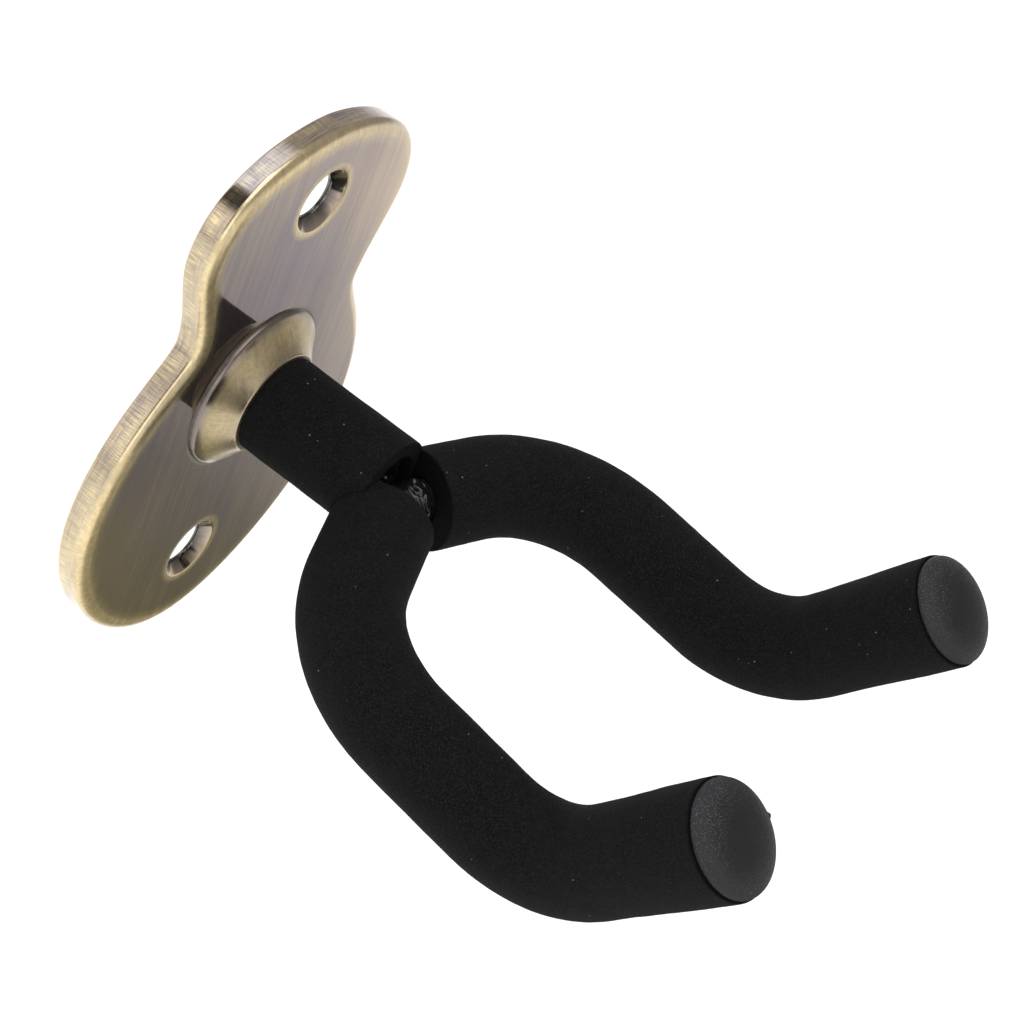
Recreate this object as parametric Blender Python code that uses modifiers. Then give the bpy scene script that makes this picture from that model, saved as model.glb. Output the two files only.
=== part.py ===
"""Wall guitar hanger: a cast guitar-shaped wall plate that carries a padded, swivelling fork.

The wall is the plane Y = 0, with the hanger standing out from it towards -Y and +Z up. The origin is the
point where the shank's axis meets the wall. `out` below is a distance from the wall, so Y = -out.
"""

import math

import bmesh
import bpy
from mathutils import Matrix, Vector

MM = 0.001

# Wall plate: the guitar outline as (half width, height) of each bout and of each side's waist
PLATE_THICKNESS = 5.3 * MM
PLATE_EDGE_RADIUS = 2.0 * MM
PLATE_WALL = 2.8 * MM
TOP_HEIGHT = 55.0 * MM
TOP_HANDLE = 4.5 * MM
UPPER_BOUT = (28.2 * MM, 35.4 * MM)
RIGHT_WAIST = (24.1 * MM, 16.0 * MM)
LEFT_WAIST = (22.3 * MM, 15.5 * MM)
LOWER_BOUT = (37.5 * MM, -17.7 * MM)
BOTTOM_HEIGHT = -56.6 * MM
BOTTOM_HANDLE = 18.8 * MM
UPPER_BOUT_HANDLES = (17.6 * MM, 5.9 * MM)
RIGHT_WAIST_HANDLES = (5.8 * MM, 4.9 * MM)
LEFT_WAIST_HANDLES = (6.3 * MM, 4.1 * MM)
LOWER_BOUT_HANDLES = (19.5 * MM, 18.2 * MM)

# Screw holes
UPPER_HOLE_HEIGHT = 40.4 * MM
LOWER_HOLE_HEIGHT = -39.2 * MM
HOLE_MOUTH_RADIUS = 6.4 * MM
HOLE_THROAT_RADIUS = 4.3 * MM
HOLE_THROAT_LENGTH = 0.5 * MM
HOLE_LIP = 0.5 * MM

# Boss and the bore through it, from the wall outwards
BOSS_FOOT_RADIUS = 16.2 * MM
BOSS_NECK_RADIUS = 10.1 * MM
BOSS_FRONT = 10.4 * MM
BOSS_FOOT_ROUND = 1.2 * MM
BOSS_FOOT_TURN = math.radians(60)
BOSS_FLARE = 3.2 * MM
HUB_RADIUS = 15.0 * MM
POCKET_RADIUS = 11.0 * MM
POCKET_DEPTH = 5.4 * MM
BORE_RADIUS = 5.6 * MM
RECESS_RADIUS = 7.8 * MM
RECESS_FLOOR = 8.4 * MM

# Swivel stack
FACE_GAP = 0.1 * MM
BUSH_BORE_RADIUS = 4.2 * MM
BUSH_RADIUS = 5.4 * MM
BUSH_FLANGE_RADIUS = 7.4 * MM
BUSH_FLANGE_THICKNESS = 0.8 * MM
FRICTION_WASHER_RADIUS = 9.5 * MM
FRICTION_WASHER_THICKNESS = 0.8 * MM
WAVE_SPRING_RADIUS = 8.6 * MM
WAVE_SPRING_STOCK = 0.35 * MM
WAVE_SPRING_RISE = 0.3 * MM
WAVE_COUNT = 3
BACKING_WASHER_RADIUS = 8.6 * MM
BACKING_WASHER_THICKNESS = 0.8 * MM
RING_THICKNESS = 0.8 * MM
RING_BORE_RADIUS = 3.75 * MM
RING_BACK_WIDTH = 2.0 * MM
RING_END_WIDTH = 1.3 * MM
RING_HALF_GAP = math.radians(24)
RING_LUG_RADIUS = 1.6 * MM
RING_EYE_RADIUS = 0.7 * MM
GROOVE_RADIUS = 3.6 * MM
SHANK_CHAMFER = 0.5 * MM

# Fork: one bent rod across the end of the shank, drawn from the middle outwards as (side, out, height)
ROD_RADIUS = 4.0 * MM
COLLAR_RADIUS = 7.3 * MM
SHANK_START = 0.7 * MM
SHANK_END = 33.8 * MM
YOKE_MIDDLE = (0.0, 38.2 * MM, -3.2 * MM)
YOKE_SHOULDER = (33.9 * MM, 51.1 * MM, -5.0 * MM)
YOKE_ELBOW = (35.1 * MM, 101.5 * MM, -13.0 * MM)
YOKE_TIP = (36.2 * MM, 124.3 * MM, 19.6 * MM)
MIDDLE_BEND = 14.0 * MM
SHOULDER_BEND = 27.7 * MM
ELBOW_BEND = 21.8 * MM
WELD_RING_RADIUS = 4.6 * MM
WELD_BEAD_RADIUS = 1.7 * MM
WELD_OUT = 33.6 * MM
FORK_TURN = math.radians(6.8)

# Foam sleeves: where each begins, measured along the yoke rod from its middle
SHANK_FOAM_RADIUS = 9.5 * MM
ARM_FOAM_RADIUS = 9.2 * MM
TIP_FOAM_RADIUS = 9.8 * MM
TIP_FLARE_LENGTH = 26.0 * MM
FOAM_BORE_RADIUS = 4.3 * MM
SHANK_FOAM_START = 10.7 * MM
SHANK_FOAM_END = 36.4 * MM
ARM_FOAM_START = {"right": 6.2 * MM, "left": 3.9 * MM}
ARM_FOAM_PAST_ROD = 1.2 * MM

# Rubber end caps: a domed head on a socket that grips the rod inside the foam
CAP_RADIUS = 9.4 * MM
CAP_HEIGHT = 4.0 * MM
CAP_RIM_DEPTH = 0.4 * MM
CAP_SOCKET_RADIUS = 5.6 * MM
CAP_SOCKET_BORE_RADIUS = 4.1 * MM
CAP_SOCKET_LENGTH = 8.0 * MM

CLEARANCE = 0.3 * MM
BEYOND = 5.0 * MM
ROUND_STEPS = 48
TUBE_BEVEL_RESOLUTION = 6
LONGEST_FOAM_STEP = 8.0 * MM
WELD_DISTANCE = 1e-6

SIDES = {"right": 1, "left": -1}


def clear_scene():
    for thing in list(bpy.data.objects):
        bpy.data.objects.remove(thing)


def new_collection(name):
    collection = bpy.data.collections.new(name)
    bpy.context.scene.collection.children.link(collection)
    return collection


def make_material(name, colour, roughness, metallic=0.0):
    material = bpy.data.materials.new(name)
    material.use_nodes = True
    shader = material.node_tree.nodes["Principled BSDF"]
    shader.inputs["Base Color"].default_value = (*colour, 1.0)
    shader.inputs["Roughness"].default_value = roughness
    shader.inputs["Metallic"].default_value = metallic
    material.diffuse_color = (*colour, 1.0)
    return material


def at(side, out, height):
    """A world point from a distance to the right, a distance from the wall and a height."""
    return Vector((side, -out, height))


def add(name, data, group):
    made = bpy.data.objects.new(name, data)
    group.objects.link(made)
    return made


def smooth(mesh):
    mesh.polygons.foreach_set("use_smooth", [True] * len(mesh.polygons))
    mesh.set_sharp_from_angle(angle=math.radians(35))


def boolean(target, cutter, operation="DIFFERENCE"):
    step = target.modifiers.new(cutter.name, "BOOLEAN")
    step.operation = operation
    step.object = cutter


def as_mesh(curve_object):
    """Turns a curve object into a closed mesh object of the same name and place."""
    bpy.context.view_layer.update()
    graph = bpy.context.evaluated_depsgraph_get()
    mesh = bpy.data.meshes.new_from_object(curve_object.evaluated_get(graph))
    shape = bmesh.new()
    shape.from_mesh(mesh)
    bmesh.ops.remove_doubles(shape, verts=shape.verts, dist=WELD_DISTANCE)
    bmesh.ops.recalc_face_normals(shape, faces=shape.faces)
    shape.to_mesh(mesh)
    shape.free()
    smooth(mesh)
    name = curve_object.name
    made = bpy.data.objects.new(name, mesh)
    made.matrix_world = curve_object.matrix_world
    for group in curve_object.users_collection:
        group.objects.link(made)
    bpy.data.objects.remove(curve_object)
    made.name = name
    return made


def turned(name, profile, group, steps=ROUND_STEPS):
    """A shape turned about the shank's axis. The profile is a list of (radius, out), closed on itself or
    ending on the axis, and runs from the wall outwards on its outer side."""
    mesh = bpy.data.meshes.new(name)
    points = [(radius, 0.0, out) for radius, out in reversed(profile)]
    on_axis = profile[0][0] == 0.0 and profile[-1][0] == 0.0
    ends = [] if on_axis else [(len(points) - 1, 0)]
    mesh.from_pydata(points, [(i, i + 1) for i in range(len(points) - 1)] + ends, [])
    made = add(name, mesh, group)
    made.rotation_euler.x = math.radians(90)
    screw = made.modifiers.new("Turn", "SCREW")
    screw.axis = "Z"
    screw.steps = steps
    screw.render_steps = steps
    screw.use_merge_vertices = True
    screw.merge_threshold = WELD_DISTANCE
    screw.use_smooth_shade = True
    return made


def ring_profile(inner, outer, start, end):
    return [(inner, end), (inner, start), (outer, start), (outer, end)]


def disc_profile(radius, start, end):
    return [(0.0, start), (radius, start), (radius, end), (0.0, end)]


def filleted(corners, bends, turn_per_point=math.radians(5)):
    """A route through the corners, each inner one rounded to its bend radius."""
    route = [corners[0]]
    for before, corner, after, bend in zip(corners, corners[1:], corners[2:], bends):
        back = (before - corner).normalized()
        ahead = (after - corner).normalized()
        turn = math.pi - back.angle(ahead)
        tangent = bend * math.tan(turn / 2)
        centre = corner + (back + ahead).normalized() * (bend / math.cos(turn / 2))
        start = corner + back * tangent - centre
        axis = start.cross(corner + ahead * tangent - centre).normalized()
        count = 2 * max(1, round(turn / turn_per_point / 2))
        for step in range(count + 1):
            route.append(centre + Matrix.Rotation(turn * step / count, 3, axis) @ start)
    route.append(corners[-1])
    return route


def lengths_along(route):
    reached = [0.0]
    for before, after in zip(route, route[1:]):
        reached.append(reached[-1] + (after - before).length)
    return reached


def trimmed(route, start):
    """The stretch of a route from a distance along it to its end."""
    reached = lengths_along(route)
    for i, (low, high) in enumerate(zip(reached, reached[1:])):
        if low <= start < high:
            first = route[i].lerp(route[i + 1], (start - low) / (high - low))
            return [first] + route[i + 1:]
    return route


def spaced(route, longest):
    """The same route with its straight runs divided so that no step is longer than `longest`."""
    points = [route[0]]
    for before, after in zip(route, route[1:]):
        count = math.ceil((after - before).length / longest)
        points += [before.lerp(after, step / count) for step in range(1, count + 1)]
    return points


def tube(name, route, radius, group, tip_radius=None):
    """A solid round rod along a route of points, which may swell to another radius at its last end."""
    data = bpy.data.curves.new(name, "CURVE")
    data.dimensions = "3D"
    data.bevel_depth = radius
    data.bevel_resolution = TUBE_BEVEL_RESOLUTION
    data.use_fill_caps = True
    spline = data.splines.new("POLY")
    spline.points.add(len(route) - 1)
    reached = lengths_along(route)
    for point, place, length in zip(spline.points, route, reached):
        point.co = (*place, 1.0)
        if tip_radius:
            part = max(0.0, 1 - (reached[-1] - length) / TIP_FLARE_LENGTH)
            point.radius = 1 + (tip_radius / radius - 1) * part * part * (3 - 2 * part)
    return add(name, data, group)


def plate_outline(name, inset, group, half_thickness, resolution=12):
    """The guitar outline as a flat curve facing the wall, moved inwards by `inset`."""
    data = bpy.data.curves.new(name, "CURVE")
    data.dimensions = "2D"
    data.fill_mode = "BOTH"
    data.extrude = half_thickness
    data.resolution_u = resolution
    top, bottom = TOP_HEIGHT - inset, BOTTOM_HEIGHT + inset
    knots = [((0.0, top), (-TOP_HANDLE, top), (TOP_HANDLE, top))]
    for (width, height), (above, below) in (
        (UPPER_BOUT, UPPER_BOUT_HANDLES),
        (RIGHT_WAIST, RIGHT_WAIST_HANDLES),
        (LOWER_BOUT, LOWER_BOUT_HANDLES),
    ):
        x = width - inset
        knots.append(((x, height), (x, height + above), (x, height - below)))
    knots.append(((0.0, bottom), (BOTTOM_HANDLE, bottom), (-BOTTOM_HANDLE, bottom)))
    for (width, height), (above, below) in (
        (LOWER_BOUT, LOWER_BOUT_HANDLES),
        (LEFT_WAIST, LEFT_WAIST_HANDLES),
        (UPPER_BOUT, UPPER_BOUT_HANDLES),
    ):
        x = inset - width
        knots.append(((x, height), (x, height - below), (x, height + above)))
    spline = data.splines.new("BEZIER")
    spline.bezier_points.add(len(knots) - 1)
    spline.use_cyclic_u = True
    for point, (place, before, after) in zip(spline.bezier_points, knots):
        point.handle_left_type = "FREE"
        point.handle_right_type = "FREE"
        point.co = (*place, 0.0)
        point.handle_left = (*before, 0.0)
        point.handle_right = (*after, 0.0)
    made = add(name, data, group)
    made.rotation_euler.x = math.radians(90)
    return made


def merge_flat_faces(mesh):
    """Makes one face of the triangles on each flat side, so that a bevel can run cleanly round its rim."""
    shape = bmesh.new()
    shape.from_mesh(mesh)
    angle = math.radians(0.1)
    bmesh.ops.dissolve_limit(shape, angle_limit=angle, verts=shape.verts, edges=shape.edges)
    shape.to_mesh(mesh)
    shape.free()
    smooth(mesh)


def plate_blank(parts):
    """The plate before it is cut: the outline in full thickness with its front edge rounded."""
    blank = plate_outline("base_plate", 0.0, parts, PLATE_THICKNESS / 2)
    blank.location = at(0.0, PLATE_THICKNESS / 2, 0.0)
    blank = as_mesh(blank)
    merge_flat_faces(blank.data)
    front = PLATE_THICKNESS / 2 - WELD_DISTANCE
    weights = blank.data.attributes.new("bevel_weight_edge", "FLOAT", "EDGE")
    points = blank.data.vertices
    for edge in blank.data.edges:
        on_front = all(points[i].co.z > front for i in edge.vertices)
        weights.data[edge.index].value = 1.0 if on_front else 0.0
    rounding = blank.modifiers.new("Front edge", "BEVEL")
    rounding.limit_method = "WEIGHT"
    rounding.width = PLATE_EDGE_RADIUS
    rounding.segments = 4
    return blank


def boss_profile():
    """Half section of the flared boss: a rounded foot, then a slightly hollow cone up to the neck."""
    root = PLATE_THICKNESS - PLATE_WALL / 2
    points = [(0.0, root), (BOSS_FOOT_RADIUS, root)]
    foot_steps = 4
    for step in range(foot_steps + 1):
        turn = BOSS_FOOT_TURN * step / foot_steps
        radius = BOSS_FOOT_RADIUS - BOSS_FOOT_ROUND * (1 - math.cos(turn))
        points.append((radius, PLATE_THICKNESS + BOSS_FOOT_ROUND * math.sin(turn)))
    foot = Vector(points[-1])
    pull = foot + Vector((-math.sin(BOSS_FOOT_TURN), math.cos(BOSS_FOOT_TURN))) * BOSS_FLARE
    neck = Vector((BOSS_NECK_RADIUS, BOSS_FRONT))
    cone_steps = 6
    for step in range(1, cone_steps + 1):
        part = step / cone_steps
        rest = 1 - part
        points.append(tuple(foot * rest * rest + pull * 2 * part * rest + neck * part * part))
    points.append((0.0, BOSS_FRONT))
    return points


def make_base_plate(parts, cutters):
    plate = plate_blank(parts)
    boss = turned("boss_blank", boss_profile(), cutters)
    boolean(plate, boss, "UNION")

    depth = PLATE_THICKNESS - PLATE_WALL
    hollow = plate_outline("hollow_back", PLATE_WALL, cutters, (depth + BEYOND) / 2)
    hollow.location = at(0.0, (depth - BEYOND) / 2, 0.0)
    hollow = as_mesh(hollow)
    merge_flat_faces(hollow.data)
    hub = turned("hub_blank", disc_profile(HUB_RADIUS, -2 * BEYOND, BOSS_FRONT), cutters)
    boolean(hollow, hub)
    boolean(plate, hollow)

    bore = turned("swivel_bore", [
        (0.0, -BEYOND),
        (POCKET_RADIUS, -BEYOND),
        (POCKET_RADIUS, POCKET_DEPTH),
        (BORE_RADIUS, POCKET_DEPTH),
        (BORE_RADIUS, RECESS_FLOOR),
        (RECESS_RADIUS, RECESS_FLOOR),
        (RECESS_RADIUS, BOSS_FRONT + BEYOND),
        (0.0, BOSS_FRONT + BEYOND),
    ], cutters)
    boolean(plate, bore)

    throat_end = depth + HOLE_THROAT_LENGTH
    for place, height in (("upper", UPPER_HOLE_HEIGHT), ("lower", LOWER_HOLE_HEIGHT)):
        hole = turned(f"{place}_screw_hole", [
            (0.0, -BEYOND),
            (HOLE_THROAT_RADIUS, -BEYOND),
            (HOLE_THROAT_RADIUS, throat_end),
            (HOLE_MOUTH_RADIUS - 1.2 * HOLE_LIP, PLATE_THICKNESS - HOLE_LIP),
            (HOLE_MOUTH_RADIUS - 0.7 * HOLE_LIP, PLATE_THICKNESS - 0.3 * HOLE_LIP),
            (HOLE_MOUTH_RADIUS, PLATE_THICKNESS),
            (HOLE_MOUTH_RADIUS, PLATE_THICKNESS + BEYOND),
            (0.0, PLATE_THICKNESS + BEYOND),
        ], cutters, steps=32)
        hole.location.z = height
        boolean(plate, hole)
    return plate


def make_swivel_fittings(parts, cutters):
    """Everything between the plate and the shank, stacked from the boss's front back to the wall."""
    flange_start = RECESS_FLOOR + FACE_GAP
    bush = turned("flanged_bush", [
        (BUSH_BORE_RADIUS, flange_start + BUSH_FLANGE_THICKNESS),
        (BUSH_BORE_RADIUS, POCKET_DEPTH + FACE_GAP),
        (BUSH_RADIUS, POCKET_DEPTH + FACE_GAP),
        (BUSH_RADIUS, flange_start),
        (BUSH_FLANGE_RADIUS, flange_start),
        (BUSH_FLANGE_RADIUS, flange_start + BUSH_FLANGE_THICKNESS),
    ], parts)

    top = POCKET_DEPTH - FACE_GAP
    bottom = top - FRICTION_WASHER_THICKNESS
    profile = ring_profile(BUSH_BORE_RADIUS, FRICTION_WASHER_RADIUS, bottom, top)
    friction = turned("friction_washer", profile, parts)

    middle = bottom - FACE_GAP - WAVE_SPRING_RISE - WAVE_SPRING_STOCK / 2
    spring = make_wave_spring(parts, middle)

    top = middle - WAVE_SPRING_RISE - WAVE_SPRING_STOCK / 2 - FACE_GAP
    bottom = top - BACKING_WASHER_THICKNESS
    profile = ring_profile(BUSH_BORE_RADIUS, BACKING_WASHER_RADIUS, bottom, top)
    backing = turned("backing_washer", profile, parts)
    ring_start = bottom - FACE_GAP - RING_THICKNESS
    ring = make_retaining_ring(parts, cutters, ring_start)
    return bush, friction, spring, backing, ring, ring_start


def make_wave_spring(parts, middle):
    """A thin ring whose height rises and falls in waves: a loft of one small section round the axis."""
    shape = bmesh.new()
    stations = 60
    half = WAVE_SPRING_STOCK / 2
    bore = BUSH_BORE_RADIUS + CLEARANCE
    corners = ((bore, -half), (WAVE_SPRING_RADIUS, -half), (WAVE_SPRING_RADIUS, half), (bore, half))
    sections = []
    for station in range(stations):
        turn = 2 * math.pi * station / stations
        centre = middle + WAVE_SPRING_RISE * math.sin(WAVE_COUNT * turn)
        section = []
        for radius, lift in corners:
            place = at(radius * math.cos(turn), centre + lift, radius * math.sin(turn))
            section.append(shape.verts.new(place))
        sections.append(section)
    for here, there in zip(sections, sections[1:] + sections[:1]):
        for i, j in ((0, 1), (1, 2), (2, 3), (3, 0)):
            shape.faces.new((here[i], here[j], there[j], there[i]))
    bmesh.ops.recalc_face_normals(shape, faces=shape.faces)
    mesh = bpy.data.meshes.new("wave_spring")
    shape.to_mesh(mesh)
    shape.free()
    smooth(mesh)
    return add("wave_spring", mesh, parts)


def ring_outline():
    """The ring seen along the shank: thick opposite its gap and thin at both ends."""
    steps = 36
    inner, outer = [], []
    for step in range(steps + 1):
        turn = RING_HALF_GAP + 2 * (math.pi - RING_HALF_GAP) * step / steps
        direction = Vector((math.sin(turn), math.cos(turn), 0.0))
        swell = (RING_BACK_WIDTH - RING_END_WIDTH) * (1 - math.cos(turn)) / 2
        inner.append(direction * RING_BORE_RADIUS)
        outer.append(direction * (RING_BORE_RADIUS + RING_END_WIDTH + swell))
    return inner + outer[::-1]


def make_retaining_ring(parts, cutters, start):
    """An external retaining ring with an eyed lug on each end."""
    data = bpy.data.curves.new("retaining_ring", "CURVE")
    data.dimensions = "2D"
    data.fill_mode = "BOTH"
    data.extrude = RING_THICKNESS / 2
    spline = data.splines.new("POLY")
    outline = ring_outline()
    spline.points.add(len(outline) - 1)
    spline.use_cyclic_u = True
    for point, place in zip(spline.points, outline):
        point.co = (*place, 1.0)
    ring = add("retaining_ring", data, parts)
    ring.rotation_euler.x = math.radians(90)
    ring.location = at(0.0, start + RING_THICKNESS / 2, 0.0)
    ring = as_mesh(ring)
    lug_turn = RING_HALF_GAP + math.radians(9)
    reach = RING_BORE_RADIUS + RING_LUG_RADIUS + CLEARANCE
    lug_profile = disc_profile(RING_LUG_RADIUS, start, start + RING_THICKNESS)
    for name, side in SIDES.items():
        lug = turned(f"{name}_lug", lug_profile, cutters, 20)
        eye = turned(f"{name}_eye", disc_profile(RING_EYE_RADIUS, -BEYOND, BEYOND), cutters, 12)
        for piece in (lug, eye):
            piece.location.x = side * reach * math.sin(lug_turn)
            piece.location.z = reach * math.cos(lug_turn)
        boolean(ring, lug, "UNION")
        boolean(ring, eye)
    return ring


def make_shank(parts, ring_start):
    groove_start = ring_start - FACE_GAP
    groove_end = ring_start + RING_THICKNESS + FACE_GAP
    collar_start = RECESS_FLOOR + 2 * FACE_GAP + BUSH_FLANGE_THICKNESS
    return turned("shank", [
        (0.0, SHANK_START),
        (GROOVE_RADIUS, SHANK_START),
        (ROD_RADIUS, groove_start - SHANK_CHAMFER / 4),
        (ROD_RADIUS, groove_start),
        (GROOVE_RADIUS, groove_start),
        (GROOVE_RADIUS, groove_end),
        (ROD_RADIUS, groove_end),
        (ROD_RADIUS, collar_start),
        (COLLAR_RADIUS, collar_start),
        (COLLAR_RADIUS, BOSS_FRONT),
        (ROD_RADIUS, BOSS_FRONT),
        (ROD_RADIUS, SHANK_END),
        (0.0, SHANK_END),
    ], parts, steps=40)


def arm_route(side, past_tip=0.0):
    """Half of the yoke rod's centre line, from its middle to one tip."""
    shoulder, elbow, tip = (
        at(side * x, out, height) for x, out, height in (YOKE_SHOULDER, YOKE_ELBOW, YOKE_TIP)
    )
    end = tip + (tip - elbow).normalized() * past_tip
    opposite = Vector((-shoulder.x, shoulder.y, shoulder.z))
    corners = [opposite, at(*YOKE_MIDDLE), shoulder, elbow, end]
    bent = filleted(corners, [MIDDLE_BEND, SHOULDER_BEND, ELBOW_BEND])
    return [point for point in bent if point.x * side > -WELD_DISTANCE]


def whole_route():
    """The yoke rod's centre line from the left tip to the right one."""
    return arm_route(SIDES["left"])[:0:-1] + arm_route(SIDES["right"])


def tip_matrix(side):
    """The frame of one tip, whose local +Z runs on out of the arm."""
    route = arm_route(side, ARM_FOAM_PAST_ROD)
    direction = (route[-1] - route[-2]).normalized()
    turn = Vector((0.0, 0.0, 1.0)).rotation_difference(direction)
    return Matrix.Translation(route[-1]) @ turn.to_matrix().to_4x4()


def make_yoke_rod(parts):
    return as_mesh(tube("yoke_rod", whole_route(), ROD_RADIUS, parts))


def weld_ring(name, radius, group):
    steps = 14
    profile = []
    for step in range(steps):
        turn = 2 * math.pi * step / steps
        ring_radius = WELD_RING_RADIUS + radius * math.cos(turn)
        profile.append((ring_radius, WELD_OUT + radius * math.sin(turn)))
    return turned(name, profile, group, steps=32)


def make_weld_bead(parts, cutters):
    """A fillet of weld round the shank's end, shaped against both rods."""
    bead = weld_ring("weld_bead", WELD_BEAD_RADIUS, parts)
    clear_radius = ROD_RADIUS + CLEARANCE / 2
    rod = turned("shank_clearance", disc_profile(clear_radius, 0.0, 2 * SHANK_END), cutters)
    boolean(bead, rod)
    yoke = tube("yoke_clearance", whole_route(), clear_radius, cutters)
    boolean(bead, as_mesh(yoke))
    return bead


def make_arm_sleeve(parts, cutters, name, side):
    route = trimmed(arm_route(side, ARM_FOAM_PAST_ROD), ARM_FOAM_START[name])
    route = spaced(route, LONGEST_FOAM_STEP)
    foam = tube(f"{name}_arm_sleeve", route, ARM_FOAM_RADIUS, parts, TIP_FOAM_RADIUS)
    sleeve = as_mesh(foam)
    bore = tube(f"{name}_arm_bore", arm_route(side, BEYOND), FOAM_BORE_RADIUS, cutters)
    boolean(sleeve, as_mesh(bore))
    seat_depth = CAP_SOCKET_LENGTH + CLEARANCE
    seat_profile = disc_profile(CAP_SOCKET_RADIUS + CLEARANCE / 2, -seat_depth, BEYOND)
    seat = turned(f"{name}_cap_seat", seat_profile, cutters, 32)
    seat.matrix_world = tip_matrix(side)
    boolean(sleeve, seat)
    boolean(sleeve, weld_ring(f"{name}_weld_room", WELD_BEAD_RADIUS + CLEARANCE, cutters))
    return sleeve


def make_shank_sleeve(parts, cutters):
    profile = ring_profile(FOAM_BORE_RADIUS, SHANK_FOAM_RADIUS, SHANK_FOAM_START, SHANK_FOAM_END)
    sleeve = turned("shank_sleeve", profile, parts)
    for name, side in SIDES.items():
        route = trimmed(arm_route(side), ARM_FOAM_START[name] - CLEARANCE)
        arm = tube(f"{name}_arm_clearance", route, ARM_FOAM_RADIUS + CLEARANCE, cutters)
        boolean(sleeve, as_mesh(arm))
    rod = tube("yoke_rod_room", whole_route(), ROD_RADIUS + CLEARANCE, cutters)
    boolean(sleeve, as_mesh(rod))
    room = WELD_BEAD_RADIUS + CLEARANCE
    room_profile = disc_profile(WELD_RING_RADIUS + room, WELD_OUT - room, SHANK_FOAM_END + BEYOND)
    boolean(sleeve, turned("weld_clearance", room_profile, cutters))
    return sleeve


def cap_profile():
    """Half section of a cap, from the crown's centre out and round to the socket's mouth and floor."""
    points = []
    rim = CLEARANCE + CAP_RIM_DEPTH
    dome_steps = 10
    for step in range(dome_steps + 1):
        turn = math.radians(90) * step / dome_steps
        points.append((CAP_RADIUS * math.sin(turn), rim + (CAP_HEIGHT - rim) * math.cos(turn)))
    socket_floor = -ARM_FOAM_PAST_ROD + CLEARANCE
    points += [
        (CAP_RADIUS, CLEARANCE),
        (CAP_SOCKET_RADIUS, CLEARANCE),
        (CAP_SOCKET_RADIUS, -CAP_SOCKET_LENGTH),
        (CAP_SOCKET_BORE_RADIUS, -CAP_SOCKET_LENGTH),
        (CAP_SOCKET_BORE_RADIUS, socket_floor),
        (0.0, socket_floor),
    ]
    return points[::-1]


def make_end_cap(parts, name, side):
    cap = turned(f"{name}_end_cap", cap_profile(), parts, steps=36)
    cap.matrix_world = tip_matrix(side)
    return cap


def paint(pieces, material):
    for piece in pieces:
        piece.data.materials.clear()
        piece.data.materials.append(material)


def main():
    clear_scene()
    parts = new_collection("wall_guitar_hanger")
    cutters = new_collection("cutters")

    plate = make_base_plate(parts, cutters)
    bush, friction, spring, backing, ring, ring_start = make_swivel_fittings(parts, cutters)
    shank = make_shank(parts, ring_start)
    yoke = make_yoke_rod(parts)
    weld = make_weld_bead(parts, cutters)
    shank_sleeve = make_shank_sleeve(parts, cutters)
    arm_sleeves = [make_arm_sleeve(parts, cutters, name, side) for name, side in SIDES.items()]
    caps = [make_end_cap(parts, name, side) for name, side in SIDES.items()]

    paint([plate], make_material("antique_brass", (0.36, 0.30, 0.20), 0.32, 1.0))
    paint([bush, friction], make_material("nylon", (0.80, 0.79, 0.74), 0.45))
    paint([spring, backing, ring], make_material("zinc_plated_steel", (0.62, 0.62, 0.60), 0.35, 1.0))
    paint([shank, yoke, weld], make_material("black_paint", (0.02, 0.02, 0.022), 0.4))
    paint([shank_sleeve, *arm_sleeves], make_material("black_foam", (0.012, 0.012, 0.013), 0.9))
    paint(caps, make_material("grey_rubber", (0.035, 0.036, 0.038), 0.6))

    swivel = bpy.data.objects.new("fork_swivel", None)
    swivel.empty_display_size = 20 * MM
    parts.objects.link(swivel)
    fork = [shank, yoke, weld, shank_sleeve, *arm_sleeves, *caps, backing, ring]
    fork_cutters = set()
    for piece in fork:
        fork_cutters |= {step.object for step in piece.modifiers if step.type == "BOOLEAN"}
    for piece in [*fork, *fork_cutters]:
        piece.parent = swivel
    swivel.rotation_euler.y = -FORK_TURN

    cutters.hide_render = True
    for cutter in cutters.objects:
        cutter.hide_render = True
        cutter.display_type = "WIRE"


main()
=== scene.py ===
"""Wall guitar hanger: the visual model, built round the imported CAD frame.

Metres, with the wall as the plane Y = 0, the hanger standing out towards -Y and +Z up. `out` is a distance
from the wall, so Y = -out. The origin is the point where the swivel's axis meets the wall.
"""

import math

import bmesh
import bpy
import numpy as np
from mathutils import Matrix, Vector, noise
from mathutils.geometry import delaunay_2d_cdt


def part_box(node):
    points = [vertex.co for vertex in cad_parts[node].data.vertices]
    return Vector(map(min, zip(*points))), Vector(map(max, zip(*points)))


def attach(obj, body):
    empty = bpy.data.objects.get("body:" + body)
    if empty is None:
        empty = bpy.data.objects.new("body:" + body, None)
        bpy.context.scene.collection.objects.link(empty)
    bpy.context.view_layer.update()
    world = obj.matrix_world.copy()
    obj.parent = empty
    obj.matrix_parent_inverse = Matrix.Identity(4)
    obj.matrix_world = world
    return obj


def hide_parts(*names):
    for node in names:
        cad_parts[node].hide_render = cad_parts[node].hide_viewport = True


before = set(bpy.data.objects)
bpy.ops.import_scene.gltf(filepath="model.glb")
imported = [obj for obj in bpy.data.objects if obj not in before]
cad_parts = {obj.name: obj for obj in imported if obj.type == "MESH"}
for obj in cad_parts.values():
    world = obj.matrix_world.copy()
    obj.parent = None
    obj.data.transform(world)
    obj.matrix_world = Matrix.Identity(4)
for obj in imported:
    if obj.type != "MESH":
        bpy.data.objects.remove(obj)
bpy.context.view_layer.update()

MM = 0.001


def mm(value):
    """Millimetres to metres, in nested tuples too."""
    return tuple(mm(part) for part in value) if isinstance(value, tuple) else value * MM


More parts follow.
